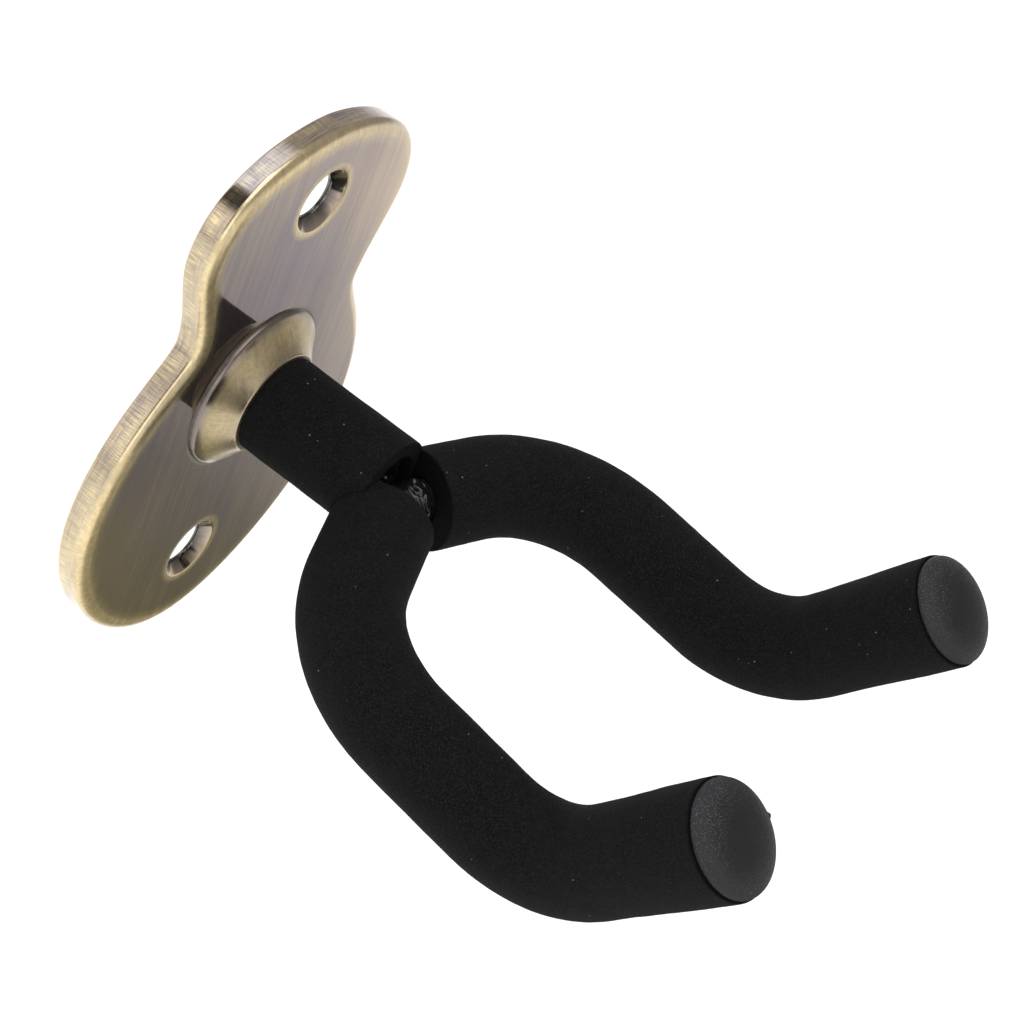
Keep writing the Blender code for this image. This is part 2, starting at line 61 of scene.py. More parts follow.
# Wall plate outline: half width and height of each bout and of each side's waist, with its two handles
TOP_HEIGHT = mm(55.0)
TOP_HANDLE = mm(4.5)
BOTTOM_HEIGHT = mm(-56.6)
BOTTOM_HANDLE = mm(18.8)
UPPER_BOUT = mm(((28.2, 35.4), (17.6, 5.9)))
LOWER_BOUT = mm(((37.5, -17.7), (19.5, 18.2)))
RIGHT_WAIST = mm(((24.1, 16.0), (5.8, 4.9)))
LEFT_WAIST = mm(((22.3, 15.5), (6.3, 4.1)))
PLATE_THICKNESS = mm(5.3)
PLATE_WALL = mm(2.8)
WEB_BACK = PLATE_THICKNESS - PLATE_WALL
SHOULDER_WIDTH = mm(2.4)
SHOULDER_DROP = mm(1.6)
BACK_ROUND = mm(0.5)
EDGE_FADE = mm(4.8)
OUTLINE_STEPS = 720
CIRCLE_STEPS = 160

# Screw holes
HOLE_HEIGHTS = mm((40.4, -39.2))
HOLE_MOUTH = mm(6.4)
HOLE_THROAT = mm(4.3)
HOLE_HALO = mm(8.0)

# Ejector-pin marks on the back: radius and how far sunk, and where on each side
PIN_MARK = mm(((2.9, 0.0), (2.6, 0.0), (2.55, 0.12), (1.5, 0.14), (0.0, 0.14)))
PIN_PLACES = mm(((14.0, 22.0), (19.0, -27.0)))

# Boss and the swivel's bore
BOSS_FOOT = mm(16.2)
BOSS_FOOT_ROUND = mm(1.0)
BOSS_FOOT_TURN = math.radians(60)
BOSS_FLARE = mm(3.2)
BOSS_NECK = mm(10.1)
BOSS_FRONT = mm(10.4)
HUB = mm(15.0)
POCKET = mm(11.0)
POCKET_DEPTH = mm(5.4)
BORE = mm(5.6)
RECESS = mm(7.8)
RECESS_FLOOR = mm(8.4)

# Fork
ROD = mm(4.0)
COLLAR = mm(7.3)
GROOVE = mm(3.6)
SHANK_START = mm(0.7)
SHANK_END = mm(33.8)
YOKE_MIDDLE = mm((0.0, 38.2, -3.2))
YOKE_SHOULDER = mm((33.9, 51.1, -5.0))
YOKE_ELBOW = mm((35.1, 101.5, -13.0))
YOKE_TIP = mm((36.2, 124.3, 19.6))
BENDS = mm((14.0, 27.7, 21.8))
FORK_TURN = math.radians(6.8)

# Sleeves and caps
SHANK_FOAM = mm(9.5)
SHANK_FOAM_START = mm(10.55)
SHANK_FOAM_END = mm(36.4)
ARM_FOAM = mm(9.2)
TIP_FOAM = mm(9.8)
TIP_FLARE = mm(26.0)
FOAM_BORE = mm(4.15)
BORE_LIP = mm(0.25)
BORE_STRIDE = 6
ARM_FOAM_START = {"right": 6.2 * MM, "left": 3.9 * MM}
ARM_FOAM_PAST_ROD = mm(1.2)
CAP = mm(9.45)
CAP_HEIGHT = mm(4.0)
CAP_RIM = mm(0.45)
CAP_LEAN = {"right": math.radians(4.0), "left": math.radians(6.5)}
LEAN_FADE = mm(9.0)
# The side of each cap where the pebbles near the rim are painted light, as painted glints.
GLINT_TOWARDS = math.radians(115)
NUB_PLACE = mm((8.50, -1.42, 1.95))
NUB_RADIUS = mm(0.65)
NUB_HEIGHT = mm(0.36)
NUB_POINTS = (0.73, -0.12, 0.67)

SIDES = {"right": 1, "left": -1}


# ---------------------------------------------------------------- mesh building

def at(side, out, height):
    return Vector((side, -out, height))


def polar(radius, angle, height=0.0):
    return Vector((radius * math.cos(angle), radius * math.sin(angle), height))


def clamped(value):
    return min(1.0, max(0.0, value))


def angles_round(steps):
    return [2 * math.pi * i / steps for i in range(steps)]


def linked(name, data):
    made = bpy.data.objects.new(name, data)
    bpy.context.scene.collection.objects.link(made)
    return made


def fork_frame():
    return Matrix.Rotation(-FORK_TURN, 4, "Y")


def swivel_axis():
    """Local +Z runs along the shank, out of the wall."""
    return Matrix.Rotation(math.radians(90), 4, "X")


class Shell:
    """A mesh gathered ring by ring, with numbers that its material reads stored on each point."""

    # Some of these marks carry painted shade and painted glints as well as the finish.
    MARKS = ("worn", "wall", "run", "cast", "bare", "spun", "rim", "grained", "cut")

    def __init__(self):
        self.points = []
        self.faces = []
        self.marks = {name: [] for name in self.MARKS}

    def ring(self, points, **marks):
        first = len(self.points)
        self.points += [tuple(p) for p in points]
        count = len(self.points) - first
        for name in self.MARKS:
            value = marks.get(name, 0.0)
            self.marks[name] += list(value) if hasattr(value, "__len__") else [value] * count
        return list(range(first, first + count))

    def band(self, a, b):
        for i in range(len(a)):
            j = (i + 1) % len(a)
            self.faces.append((a[i], a[j], b[j], b[i]))

    def join(self, rings, closed=False):
        for a, b in zip(rings, rings[1:] + rings[:1] if closed else rings[1:]):
            self.band(a, b)

    def fan(self, ring, centre, **marks):
        middle = self.ring([centre], **marks)[0]
        for i in range(len(ring)):
            self.faces.append((ring[i], ring[(i + 1) % len(ring)], middle))

    def fill(self, outer, holes=()):
        """Triangles over the flat region inside one ring and outside the others, in the XZ plane."""
        loops = [outer, *holes]
        index = [i for loop in loops for i in loop]
        flat = [Vector((self.points[i][0], self.points[i][2])) for i in index]
        edges, start = [], 0
        for loop in loops:
            edges += [(start + i, start + (i + 1) % len(loop)) for i in range(len(loop))]
            start += len(loop)
        found = delaunay_2d_cdt(flat, edges, [], 0, 1e-9)
        polygons = [np.array([flat[k] for k in range(s, s + len(loop))]) for s, loop in zip(
            np.cumsum([0] + [len(loop) for loop in loops[:-1]]), loops)]
        for triangle in found[2]:
            source = [found[3][v][0] for v in triangle]
            middle = sum((flat[v] for v in source), Vector((0.0, 0.0))) / 3
            if sum(inside(middle, polygon) for polygon in polygons) == 1:
                self.faces.append(tuple(index[v] for v in source))

    def mesh(self, name):
        mesh = bpy.data.meshes.new(name)
        mesh.from_pydata(self.points, [], self.faces)
        for mark, values in self.marks.items():
            if any(values):
                layer = mesh.attributes.new(mark, "FLOAT", "POINT")
                layer.data.foreach_set("value", np.array(values, np.float32))
        shape = bmesh.new()
        shape.from_mesh(mesh)
        bmesh.ops.recalc_face_normals(shape, faces=shape.faces)
        shape.to_mesh(mesh)
        shape.free()
        return mesh

    def build(self, name, material, body, replaces, sharp=None):
        mesh = self.mesh(name)
        mesh.polygons.foreach_set("use_smooth", [True] * len(mesh.polygons))
        if sharp:
            mesh.set_sharp_from_angle(angle=math.radians(sharp))
        mesh.materials.append(material)
        piece = linked(name, mesh)
        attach(piece, body)
        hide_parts(replaces)
        return piece


def inside(point, polygon):
    x, y = point
    ax, ay = polygon[:, 0], polygon[:, 1]
    bx, by = np.roll(ax, -1), np.roll(ay, -1)
    crosses = (ay > y) != (by > y)
    with np.errstate(divide="ignore", invalid="ignore"):
        where = ax + (y - ay) * (bx - ax) / (by - ay)
    return int((crosses & (x < where)).sum() % 2)


def softened(profile, radius, steps=5):
    """A flat profile whose inner corners are rounded."""
    points = [Vector(p) for p in profile]
    route = [points[0]]
    for before, corner, after in zip(points, points[1:], points[2:]):
        back, ahead = before - corner, after - corner
        reach = min(radius, 0.45 * back.length, 0.45 * ahead.length)
        a = corner + back.normalized() * reach
        b = corner + ahead.normalized() * reach
        for step in range(steps + 1):
            t = step / steps
            route.append(a * (1 - t) ** 2 + corner * 2 * t * (1 - t) + b * t * t)
    route.append(points[-1])
    return route


def turn(shell, profile, place, steps=CIRCLE_STEPS, closed=False, **marks):
    """Rings of a profile of (radius, height) turned about the local Z axis of `place`."""
    rings = []
    angles = angles_round(steps)
    for k, (radius, height) in enumerate(profile):
        given = {name: value[k] if hasattr(value, "__len__") else value for name, value in marks.items()}
        if radius < 1e-9:
            rings.append((place @ Vector((0.0, 0.0, height)), given))
            continue
        points = [place @ polar(radius, a, height) for a in angles]
        given.setdefault("run", [a * BOSS_FOOT for a in angles])
        rings.append(shell.ring(points, **given))
    for a, b in zip(rings, rings[1:]):
        if isinstance(a, tuple):
            shell.fan(b, a[0], **a[1])
        elif isinstance(b, tuple):
            shell.fan(a, b[0], **b[1])
        else:
            shell.band(a, b)
    if closed:
        shell.band(rings[-1], rings[0])
    return rings


# ---------------------------------------------------------------- wall plate

def bezier(a, b, c, d, steps):
    for step in range(steps):
        t = step / steps
        s = 1 - t
        yield a * s ** 3 + b * 3 * s * s * t + c * 3 * s * t * t + d * t ** 3


def outline():
    """Even points round the guitar outline, and the inward direction at each."""
    knots = [(Vector((0, TOP_HEIGHT)), Vector((-TOP_HANDLE, TOP_HEIGHT)), Vector((TOP_HANDLE, TOP_HEIGHT)))]
    for (x, z), (above, below) in (UPPER_BOUT, RIGHT_WAIST, LOWER_BOUT):
        knots.append((Vector((x, z)), Vector((x, z + above)), Vector((x, z - below))))
    knots.append((
        Vector((0, BOTTOM_HEIGHT)), Vector((BOTTOM_HANDLE, BOTTOM_HEIGHT)), Vector((-BOTTOM_HANDLE, BOTTOM_HEIGHT))
    ))
    for (x, z), (above, below) in (LOWER_BOUT, LEFT_WAIST, UPPER_BOUT):
        knots.append((Vector((-x, z)), Vector((-x, z - below)), Vector((-x, z + above))))
    fine = []
    for here, there in zip(knots, knots[1:] + knots[:1]):
        fine += bezier(here[0], here[2], there[1], there[0], 400)
    fine = np.array(fine)
    steps = np.linalg.norm(np.roll(fine, -1, axis=0) - fine, axis=1)
    reached = np.concatenate([[0], np.cumsum(steps)])
    ring = np.vstack([fine, fine[:1]])
    want = np.linspace(0, reached[-1], OUTLINE_STEPS, endpoint=False)
    even = np.stack([np.interp(want, reached, ring[:, k]) for k in (0, 1)], axis=1)
    along = np.roll(even, -1, axis=0) - np.roll(even, 1, axis=0)
    along /= np.linalg.norm(along, axis=1)[:, None]
    return even, np.stack([along[:, 1], -along[:, 0]], axis=1), want


def shoulder_profile(steps=18):
    """The rounded front edge, from the flat face to the side wall, as (inset, out)."""
    turns = [math.radians(90) * step / steps for step in range(steps + 1)]
    return [
        (SHOULDER_WIDTH * (1 - math.sin(t)), PLATE_THICKNESS - SHOULDER_DROP * (1 - math.cos(t))) for t in turns]


def boss_front_profile():
    """(radius, out) from the flat face up the foot and the hollow sweep to the neck, and into the recess."""
    lead = [(BOSS_FOOT + 0.9 * MM, PLATE_THICKNESS), (BOSS_FOOT + 0.30 * MM, PLATE_THICKNESS)]
    sweep = [(BOSS_FOOT + 0.06 * MM, PLATE_THICKNESS - 0.04 * MM), (BOSS_FOOT, PLATE_THICKNESS)]
    for step in range(1, 11):
        turned = BOSS_FOOT_TURN * step / 10
        sweep.append((
            BOSS_FOOT - BOSS_FOOT_ROUND * (1 - math.cos(turned)),
            PLATE_THICKNESS + BOSS_FOOT_ROUND * math.sin(turned),
        ))
    foot = Vector(sweep[-1])
    pull = foot + Vector((-math.sin(BOSS_FOOT_TURN), math.cos(BOSS_FOOT_TURN))) * BOSS_FLARE
    neck = Vector((BOSS_NECK, BOSS_FRONT - 0.1 * MM))
    for step in range(1, 25):
        part = step / 24
        sweep.append(tuple(foot * (1 - part) ** 2 + pull * 2 * part * (1 - part) + neck * part * part))
    rest = softened([
        (BOSS_NECK - 0.02 * MM, BOSS_FRONT - 0.06 * MM),
        (BOSS_NECK - 0.15 * MM, BOSS_FRONT),
        (RECESS, BOSS_FRONT),
        (RECESS, RECESS_FLOOR),
        (BORE, RECESS_FLOOR),
        (BORE, POCKET_DEPTH),
        (POCKET, POCKET_DEPTH),
        (POCKET, 0.0),
        (HUB, 0.0),
        (HUB, WEB_BACK),
        (HUB + 1.6 * MM, WEB_BACK),
    ], 0.35 * MM)
    return lead, sweep, rest


def hole_profile():
    """(radius, out) from the face's halo down the cone and the throat to the web's back."""
    halo = [(HOLE_HALO, PLATE_THICKNESS), (HOLE_MOUTH + 0.9 * MM, PLATE_THICKNESS)]
    lip = softened([
        (HOLE_MOUTH + 0.55 * MM, PLATE_THICKNESS),
        (HOLE_MOUTH - 0.15 * MM, PLATE_THICKNESS - 0.05 * MM),
        (HOLE_THROAT + 0.05 * MM, WEB_BACK + 0.75 * MM),
        (HOLE_THROAT, WEB_BACK),
        (HOLE_THROAT + 0.8 * MM, WEB_BACK),
    ], 0.65 * MM, 8)
    return halo, lip


def make_plate(material):
    shell = Shell()
    even, inward, run = outline()

    # Painted shade: the gold rubbed onto the edges by wear is cut back on edges that face right, and less on those that
    # face up, for the darker surroundings they mirror.
    painted_side_shade = 1.0 - 0.65 * np.clip(-inward[:, 0], 0.0, 1.0) - 0.30 * np.clip(-inward[:, 1], 0.0, 1.0)

    def contour(inset, out, worn, **marks):
        flat = even + inward * inset
        marks["worn"] = worn * painted_side_shade
        return shell.ring([at(x, out, z) for x, z in flat], run=run, **marks)

    front = [(EDGE_FADE, PLATE_THICKNESS, 0.0, 0.0)]
    for step in range(1, 9):
        inset = EDGE_FADE + (SHOULDER_WIDTH - EDGE_FADE) * step / 9
        fade = step / 9
        front.append((inset, PLATE_THICKNESS, 0.9 * fade ** 1.4, 0.0))
    shoulder = shoulder_profile()
    for k, (inset, out) in enumerate(shoulder):
        part = k / (len(shoulder) - 1)
        front.append((inset, out, 1.0 - 0.38 * part ** 3, clamped(4.0 * part - 3.0)))
    wall_top = PLATE_THICKNESS - SHOULDER_DROP
    for step in range(1, 8):
        out = wall_top + (BACK_ROUND - wall_top) * step / 7
        front.append((0.03 * MM * step / 7, out, 0.56, 1.0))
    for step in range(1, 7):
        turned = math.radians(90) * step / 6
        inset = 0.03 * MM + BACK_ROUND * (1 - math.cos(turned))
        front.append((inset, BACK_ROUND * (1 - math.sin(turned)), 0.62, 1.0))
    edge = softened([
        (BACK_ROUND + 0.1 * MM, 0.0), (PLATE_WALL, 0.0), (PLATE_WALL + 0.25 * MM, WEB_BACK),
        (PLATE_WALL + 1.6 * MM, WEB_BACK),
    ], 0.3 * MM)
    rings = [contour(inset, out, worn=worn, wall=wall) for inset, out, worn, wall in front]
    for inset, out in edge[1:]:
        behind = clamped((inset - BACK_ROUND) / (0.5 * MM))
        rings.append(contour(inset, out, worn=0.35 * (1 - behind), wall=1.0 - behind, cast=behind))
    shell.join(rings)

    axis = swivel_axis()
    lead, sweep, rest = boss_front_profile()
    profile = lead + sweep + rest
    worn, wall, cast, spun, bare = [], [], [], [], []
    for k, (radius, out) in enumerate(profile):
        up = max(0.0, (out - PLATE_THICKNESS) / (BOSS_FRONT - PLATE_THICKNESS))
        on_boss = len(lead) <= k < len(lead) + len(sweep) + 2
        swept = clamped((up - 0.12) / 0.2)
        worn.append(0.85 * swept * (1.0 - 0.8 * max(0.0, up - 0.5)) if on_boss else 0.0)
        wall.append(0.30 * min(1.0, up / 0.15) if on_boss else 0.0)
        spun.append(1.0 if on_boss else 0.0)
        # Painted shade: the crease at the boss's foot is darkened by giving the lip the dark colour of the rough
        # casting and the near-black cone colour.
        lip = 0.55 * (1.0 - clamped((up - 0.08) / 0.12))
        cast.append(lip if on_boss else float(k > len(lead) + len(sweep) + 5))
        bare.append(0.9 * lip if on_boss else 0.0)
    boss = turn(shell, profile, axis, worn=worn, wall=wall, cast=cast, spun=spun, bare=bare)

    inner_front, inner_back = [boss[0]], [boss[-1]]
    halo, lip = hole_profile()
    for height in HOLE_HEIGHTS:
        place = Matrix.Translation(at(0.0, 0.0, height)) @ axis
        profile = halo + lip
        count = len(profile)
        mouth = 12
        worn = [0.0] + [0.50] + [0.75] * 6 + [0.2] * (count - 8)
        # Painted shade: the cone and the throat of each hole get the near-black cone colour for the shade inside the
        # hole.
        bare = [0.0] * mouth + [1.0] * (count - mouth - 8) + [0.3] * 4 + [0.0] * 4
        cast = [0.0] * (count - 8) + [1.0] * 8
        hole = turn(shell, profile, place, worn=worn, bare=bare, cast=cast, wall=[
            0.0 if k < mouth else 1.0 for k in range(count)])
        inner_front.append(hole[0])
        inner_back.append(hole[-1])

    pin_mark = [(radius, WEB_BACK + sunk) for radius, sunk in PIN_MARK]
    for side in SIDES.values():
        for x, z in PIN_PLACES:
            place = Matrix.Translation(at(-side * x, 0.0, z)) @ axis
            inner_back.append(turn(shell, softened(pin_mark, 0.08 * MM, 3), place, steps=48, cast=1.0)[0])
    shell.fill(rings[0], inner_front)
    shell.fill(rings[-1], inner_back)
    shell.build("wall_plate", material, "plate", "base_plate", sharp=38)


# ---------------------------------------------------------------- swivel stack

def make_turned(name, profile, material, body, replaces, radius=0.12 * MM, steps=96, closed=True):
    shell = Shell()
    loop = [Vector(p) for p in profile]
    if closed:
        middle = (loop[0] + loop[-1]) / 2
        loop = softened([middle] + loop + [middle], radius, 4)[:-1]
    else:
        loop = softened(loop, radius, 4)
    turn(shell, loop, swivel_axis(), steps=steps, closed=closed)
    shell.build(name, material, body, replaces, sharp=50)


def ring_profile(inner, outer, start, end):
    return mm(((inner, end), (inner, start), (outer, start), (outer, end)))


def make_swivel(materials):
    nylon, steel = materials["nylon"], materials["steel"]
    make_turned(
        "nylon_bush", mm(((4.12, 9.3), (4.12, 5.5), (5.4, 5.5), (5.4, 8.5), (7.4, 8.5), (7.4, 9.3))),
        nylon, "plate", "flanged_bush")
    make_turned(
        "nylon_friction_washer", ring_profile(4.2, 9.5, 4.5, 5.3), nylon, "plate", "friction_washer")
    make_turned(
        "steel_backing_washer", ring_profile(4.2, 8.6, 2.55, 3.35),
        steel, "fork", "backing_washer")
    make_wave_spring(steel)


def make_wave_spring(material):
    low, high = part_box("wave_spring")
    middle = -(low.y + high.y) / 2
    stock = 0.35 * MM
    rise = (high.y - low.y - stock) / 2
    shell = Shell()
    section = softened([
        (6.5 * MM, stock / 2), (4.5 * MM, stock / 2), (4.5 * MM, -stock / 2), (8.6 * MM, -stock / 2),
        (8.6 * MM, stock / 2), (6.5 * MM, stock / 2),
    ], 0.1 * MM, 3)[:-1]
    rings = []
    for angle in angles_round(240):
        lift = middle + rise * math.sin(3 * angle)
        rings.append(shell.ring([
            at(radius * math.cos(angle), lift + height, radius * math.sin(angle)) for radius, height in section
        ]))
    shell.join(rings, closed=True)
    shell.build("steel_wave_spring", material, "plate", "wave_spring", sharp=50)


def finish_ring(material):
    """The retaining ring's shape is right in CAD, so it keeps its node and gets rounded edges."""
    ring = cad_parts["retaining_ring"]
    weld = ring.modifiers.new("Weld", "WELD")
    weld.merge_threshold = 1e-6
    bevel = ring.modifiers.new("Edges", "BEVEL")
    bevel.width = 0.06 * MM
    bevel.segments = 2
    bevel.limit_method = "ANGLE"
    bevel.angle_limit = math.radians(50)
    ring.data.materials.clear()
    ring.data.materials.append(material)


# ---------------------------------------------------------------- fork

def filleted(corners, bends, step_angle):
    route = [corners[0]]
    for before, corner, after, bend in zip(corners, corners[1:], corners[2:], bends):
        back = (before - corner).normalized()
        ahead = (after - corner).normalized()
        turned = math.pi - back.angle(ahead)
        tangent = bend * math.tan(turned / 2)
        centre = corner + (back + ahead).normalized() * (bend / math.cos(turned / 2))
        start = corner + back * tangent - centre
        axis = start.cross(corner + ahead * tangent - centre).normalized()
        count = 2 * max(1, round(turned / step_angle / 2))
        for step in range(count + 1):
            route.append(centre + Matrix.Rotation(turned * step / count, 3, axis) @ start)
    route.append(corners[-1])
    return route


def arm_route(side, past_tip=0.0):
    """Half of the yoke rod's centre line, from its middle to one tip, before the fork's resting turn."""
    shoulder, elbow, tip = (at(side * x, out, z) for x, out, z in (YOKE_SHOULDER, YOKE_ELBOW, YOKE_TIP))
    end = tip + (tip - elbow).normalized() * past_tip
    opposite = Vector((-shoulder.x, shoulder.y, shoulder.z))
    bent = filleted([opposite, at(*YOKE_MIDDLE), shoulder, elbow, end], BENDS, math.radians(1.5))
    return [point for point in bent if point.x * side > -1e-6]


def resampled(route, spacing, start=0.0):
    """Even points along a route from a distance `start` along it to its end."""
    points = np.array(route)
    reached = np.concatenate([[0], np.cumsum(np.linalg.norm(np.diff(points, axis=0), axis=1))])
    count = max(2, round((reached[-1] - start) / spacing))
    want = np.linspace(start, reached[-1], count + 1)
    return [Vector([np.interp(w, reached, points[:, k]) for k in range(3)]) for w in want], want


def frames_along(route):
    """A frame at each point whose Z follows the route and which doesn't twist."""
    frames = []
    side = None
    for k, point in enumerate(route):
        ahead = (route[min(k + 1, len(route) - 1)] - route[max(k - 1, 0)]).normalized()
        if side is None:
            side = ahead.orthogonal().normalized()
        side = (side - ahead * side.dot(ahead)).normalized()
        up = ahead.cross(side)
        frames.append(Matrix((
            (side.x, up.x, ahead.x, point.x),
            (side.y, up.y, ahead.y, point.y),
            (side.z, up.z, ahead.z, point.z),
            (0.0, 0.0, 0.0, 1.0),
        )))
    return frames


def circle(place, radius, steps, height=0.0):
    return [place @ polar(radius, a, height) for a in angles_round(steps)]


def make_yoke_rod(material):
    shell = Shell()
    whole = arm_route(-1)[:0:-1] + arm_route(1)
    route, _ = resampled(whole, 1.2 * MM)
    turned = fork_frame()
    frames = [turned @ f for f in frames_along(route)]
    rings = [shell.ring(circle(f, ROD, 56)) for f in frames]
    shell.join(rings)
    for ring, f, way in ((rings[0], frames[0], -1), (rings[-1], frames[-1], 1)):
        chamfer = shell.ring(circle(f, ROD - 0.5 * MM, 56, way * 0.4 * MM))
        shell.band(ring, chamfer)
        shell.fan(chamfer, f @ Vector((0.0, 0.0, way * 0.4 * MM)))
    shell.build("fork_yoke_rod", material, "fork", "yoke_rod", sharp=60)


def make_shank(material):
    low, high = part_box("retaining_ring")
    ring_start, ring_end = -high.y - 0.1 * MM, -low.y + 0.1 * MM
    profile = [
        (0.0, SHANK_START), (GROOVE, SHANK_START), (ROD, ring_start - 0.1 * MM), (ROD, ring_start),
        (GROOVE, ring_start), (GROOVE, ring_end), (ROD, ring_end), (ROD, 9.4 * MM), (COLLAR, 9.4 * MM),
        (COLLAR, BOSS_FRONT), (ROD, BOSS_FRONT), (ROD, SHANK_END), (0.0, SHANK_END),
    ]
    make_turned(
        "fork_shank", profile, material, "fork", "shank", radius=0.2 * MM, steps=72, closed=False)


def make_weld(material):
    """A rippled fillet of weld round the shank's end, under the paint."""
    shell = Shell()
    turned = fork_frame()
    rings = []
    for angle in angles_round(220):
        ripple = 0.5 + 0.5 * math.cos(11 * angle + 1.3 * math.sin(3 * angle))
        ring = []
        for t in angles_round(22):
            lump = noise.noise(Vector((3.1 * math.cos(angle), 3.1 * math.sin(angle), 1.7 * math.cos(t) + 5.0)))
            thick = (1.38 + 0.26 * ripple + 0.22 * lump) * MM
            lean = 0.35 * MM * math.sin(t) * (ripple - 0.5)
            radius = 4.55 * MM + thick * math.cos(t) + lean
            out = 33.6 * MM + thick * math.sin(t)
            ring.append(turned @ at(radius * math.cos(angle), out, radius * math.sin(angle)))
        rings.append(shell.ring(ring))
    shell.join(rings, closed=True)
    route, reached = resampled(arm_route(1)[:40], 0.16 * MM)
    rings = []
    for place, length in zip(frames_along(route), reached):
        along = (length - 1.6 * MM) / (4.3 * MM)
        if not 0 <= along <= 1:
            continue
        height = math.sin(math.pi * along) ** 0.6
        points = []
        for a in angles_round(96):
            swirl = noise.noise(Vector((1.4 * math.cos(a), 1.4 * math.sin(a), length * 500.0)))
            wave = math.sin(length / (0.24 * MM) + 7.0 * swirl)
            lump = noise.noise(Vector((3.4 * math.cos(a), 3.4 * math.sin(a), length * 900.0 + 4.0)))
            radius = ROD - 0.15 * MM + height * (0.52 + 0.20 * wave + 0.55 * lump) * MM
            points.append(turned @ place @ polar(radius, a))
        rings.append(shell.ring(points))
    shell.join(rings)
    for ring in (rings[0], rings[-1]):
        shell.fan(ring, sum((Vector(shell.points[i]) for i in ring), Vector()) / len(ring))
    shell.build("fork_weld", material, "fork", "weld_bead")


def foam_tube(shell, route, radii, steps, place, rounding=0.3 * MM, roughness=0.07 * MM, seed=0.0, seat=None):
    """A foam tube with a bore: outer wall, two cut faces with a soft edge, and the bore's wall.

    `seat` is the direction that the far end's face looks along where it is squeezed square to a crooked cap."""
    frames = [place @ f for f in frames_along(route)]
    first, last = frames[0], frames[-1]
    lip = FOAM_BORE + BORE_LIP
    bend = [math.radians(90) * step / 4 for step in range(5)]

    def rough(point, amount):
        p = Vector(point) * 160.0 + Vector((seed, 0.0, 0.0))
        return amount * (noise.noise(p) + 0.5 * noise.noise(p * 3.1))

    def wall(f, radius, height=0.0, amount=roughness, cut=0.0):
        points = []
        slope = Vector((0.0, 0.0))
        if seat is not None:
            facing = f.to_3x3().inverted() @ seat
            fade = max(0.0, 1 - math.dist(f.translation, last.translation) / LEAN_FADE)
            slope = Vector((facing.x, facing.y)) * (-fade * fade * (3 - 2 * fade) / facing.z)
        for a in angles_round(steps):
            grown = radius + rough(f @ polar(radius, a, height), amount)
            x, y = grown * math.cos(a), grown * math.sin(a)
            points.append(f @ Vector((x, y, height + x * slope.x + y * slope.y)))
        return shell.ring(points, cut=cut)

    # The cut end faces and the bore get the cut mark, which the foam's material darkens as painted shade.
    rings = [wall(first, lip, 0.02 * MM, 0.0, 1.0), wall(first, (FOAM_BORE + radii[0]) / 2, 0.0, 0.0, 1.0)]
    for step, t in enumerate(bend):
        away = rounding * (1 - math.cos(t))
        rings.append(wall(first, radii[0] - rounding * (1 - math.sin(t)), away, cut=1 - step / 4))
    rings += [wall(f, radius) for f, radius in zip(frames[1:-1], radii[1:-1])]
    for step, t in enumerate(bend):
        away = -rounding * (1 - math.sin(t))
        rings.append(wall(last, radii[-1] - rounding * (1 - math.cos(t)), away, cut=step / 4))
    rings += [wall(last, (FOAM_BORE + radii[-1]) / 2, 0.0, 0.0, 1.0), wall(last, lip, -0.02 * MM, 0.0, 1.0)]
    rings += [wall(f, FOAM_BORE, 0.0, 0.0, 1.0) for f in frames[-2:0:-BORE_STRIDE]]
    shell.join(rings, closed=True)


def make_arm_sleeve(name, side, material):
    shell = Shell()
    route, reached = resampled(arm_route(side, ARM_FOAM_PAST_ROD), 0.7 * MM, ARM_FOAM_START[name])
    end = reached[-1]
    radii = []
    for length in reached:
        part = max(0.0, 1 - (end - length) / TIP_FLARE)
        radii.append(ARM_FOAM + (TIP_FOAM - ARM_FOAM) * part * part * (3 - 2 * part))
    seat = tip_frame(name, side).to_3x3() @ Vector((0.0, 0.0, 1.0))
    foam_tube(shell, route, radii, 120, fork_frame(), seed=7.0 * side, seat=seat)
    made = shell.build(f"{name}_foam_sleeve", material, "fork", f"{name}_arm_sleeve", sharp=60)


def make_shank_sleeve(material):
    shell = Shell()
    straight = [at(0.0, SHANK_FOAM_START, 0.0), at(0.0, SHANK_FOAM_END, 0.0)]
    route, reached = resampled(straight, 0.6 * MM)
    foam_tube(shell, route, [SHANK_FOAM] * len(route), 132, Matrix.Identity(4), seed=3.0)
    made = shell.build("shank_foam_sleeve", material, "fork", "shank_sleeve")
    cutters = []
    for name, side in SIDES.items():
        room = Shell()
        path, _ = resampled(arm_route(side)[:60], 1.5 * MM, ARM_FOAM_START[name] - 0.15 * MM)
        frames = [fork_frame() @ f for f in frames_along(path)]
        rings = [room.ring(circle(f, ARM_FOAM + 0.12 * MM, 72)) for f in frames]
        room.join(rings)
        room.fan(rings[0], frames[0].translation)
        room.fan(rings[-1], frames[-1].translation)
        cutters.append(cutter_object(f"{name}_arm_room", room))
    room = Shell()
    turn(room, mm(((0.0, 31.8), (6.6, 31.8), (6.6, 45.0), (0.0, 45.0))), swivel_axis(), 64)
    cutters.append(cutter_object("weld_room", room))
    apply_booleans(made, cutters)


def cutter_object(name, shell):
    """A piece to cut the foam with, which marks the faces that it leaves, so that the foam's material darkens them as
    painted shade.
    """
    shell.marks = {"cut": [1.0] * len(shell.points)}
    return linked(name, shell.mesh(name))


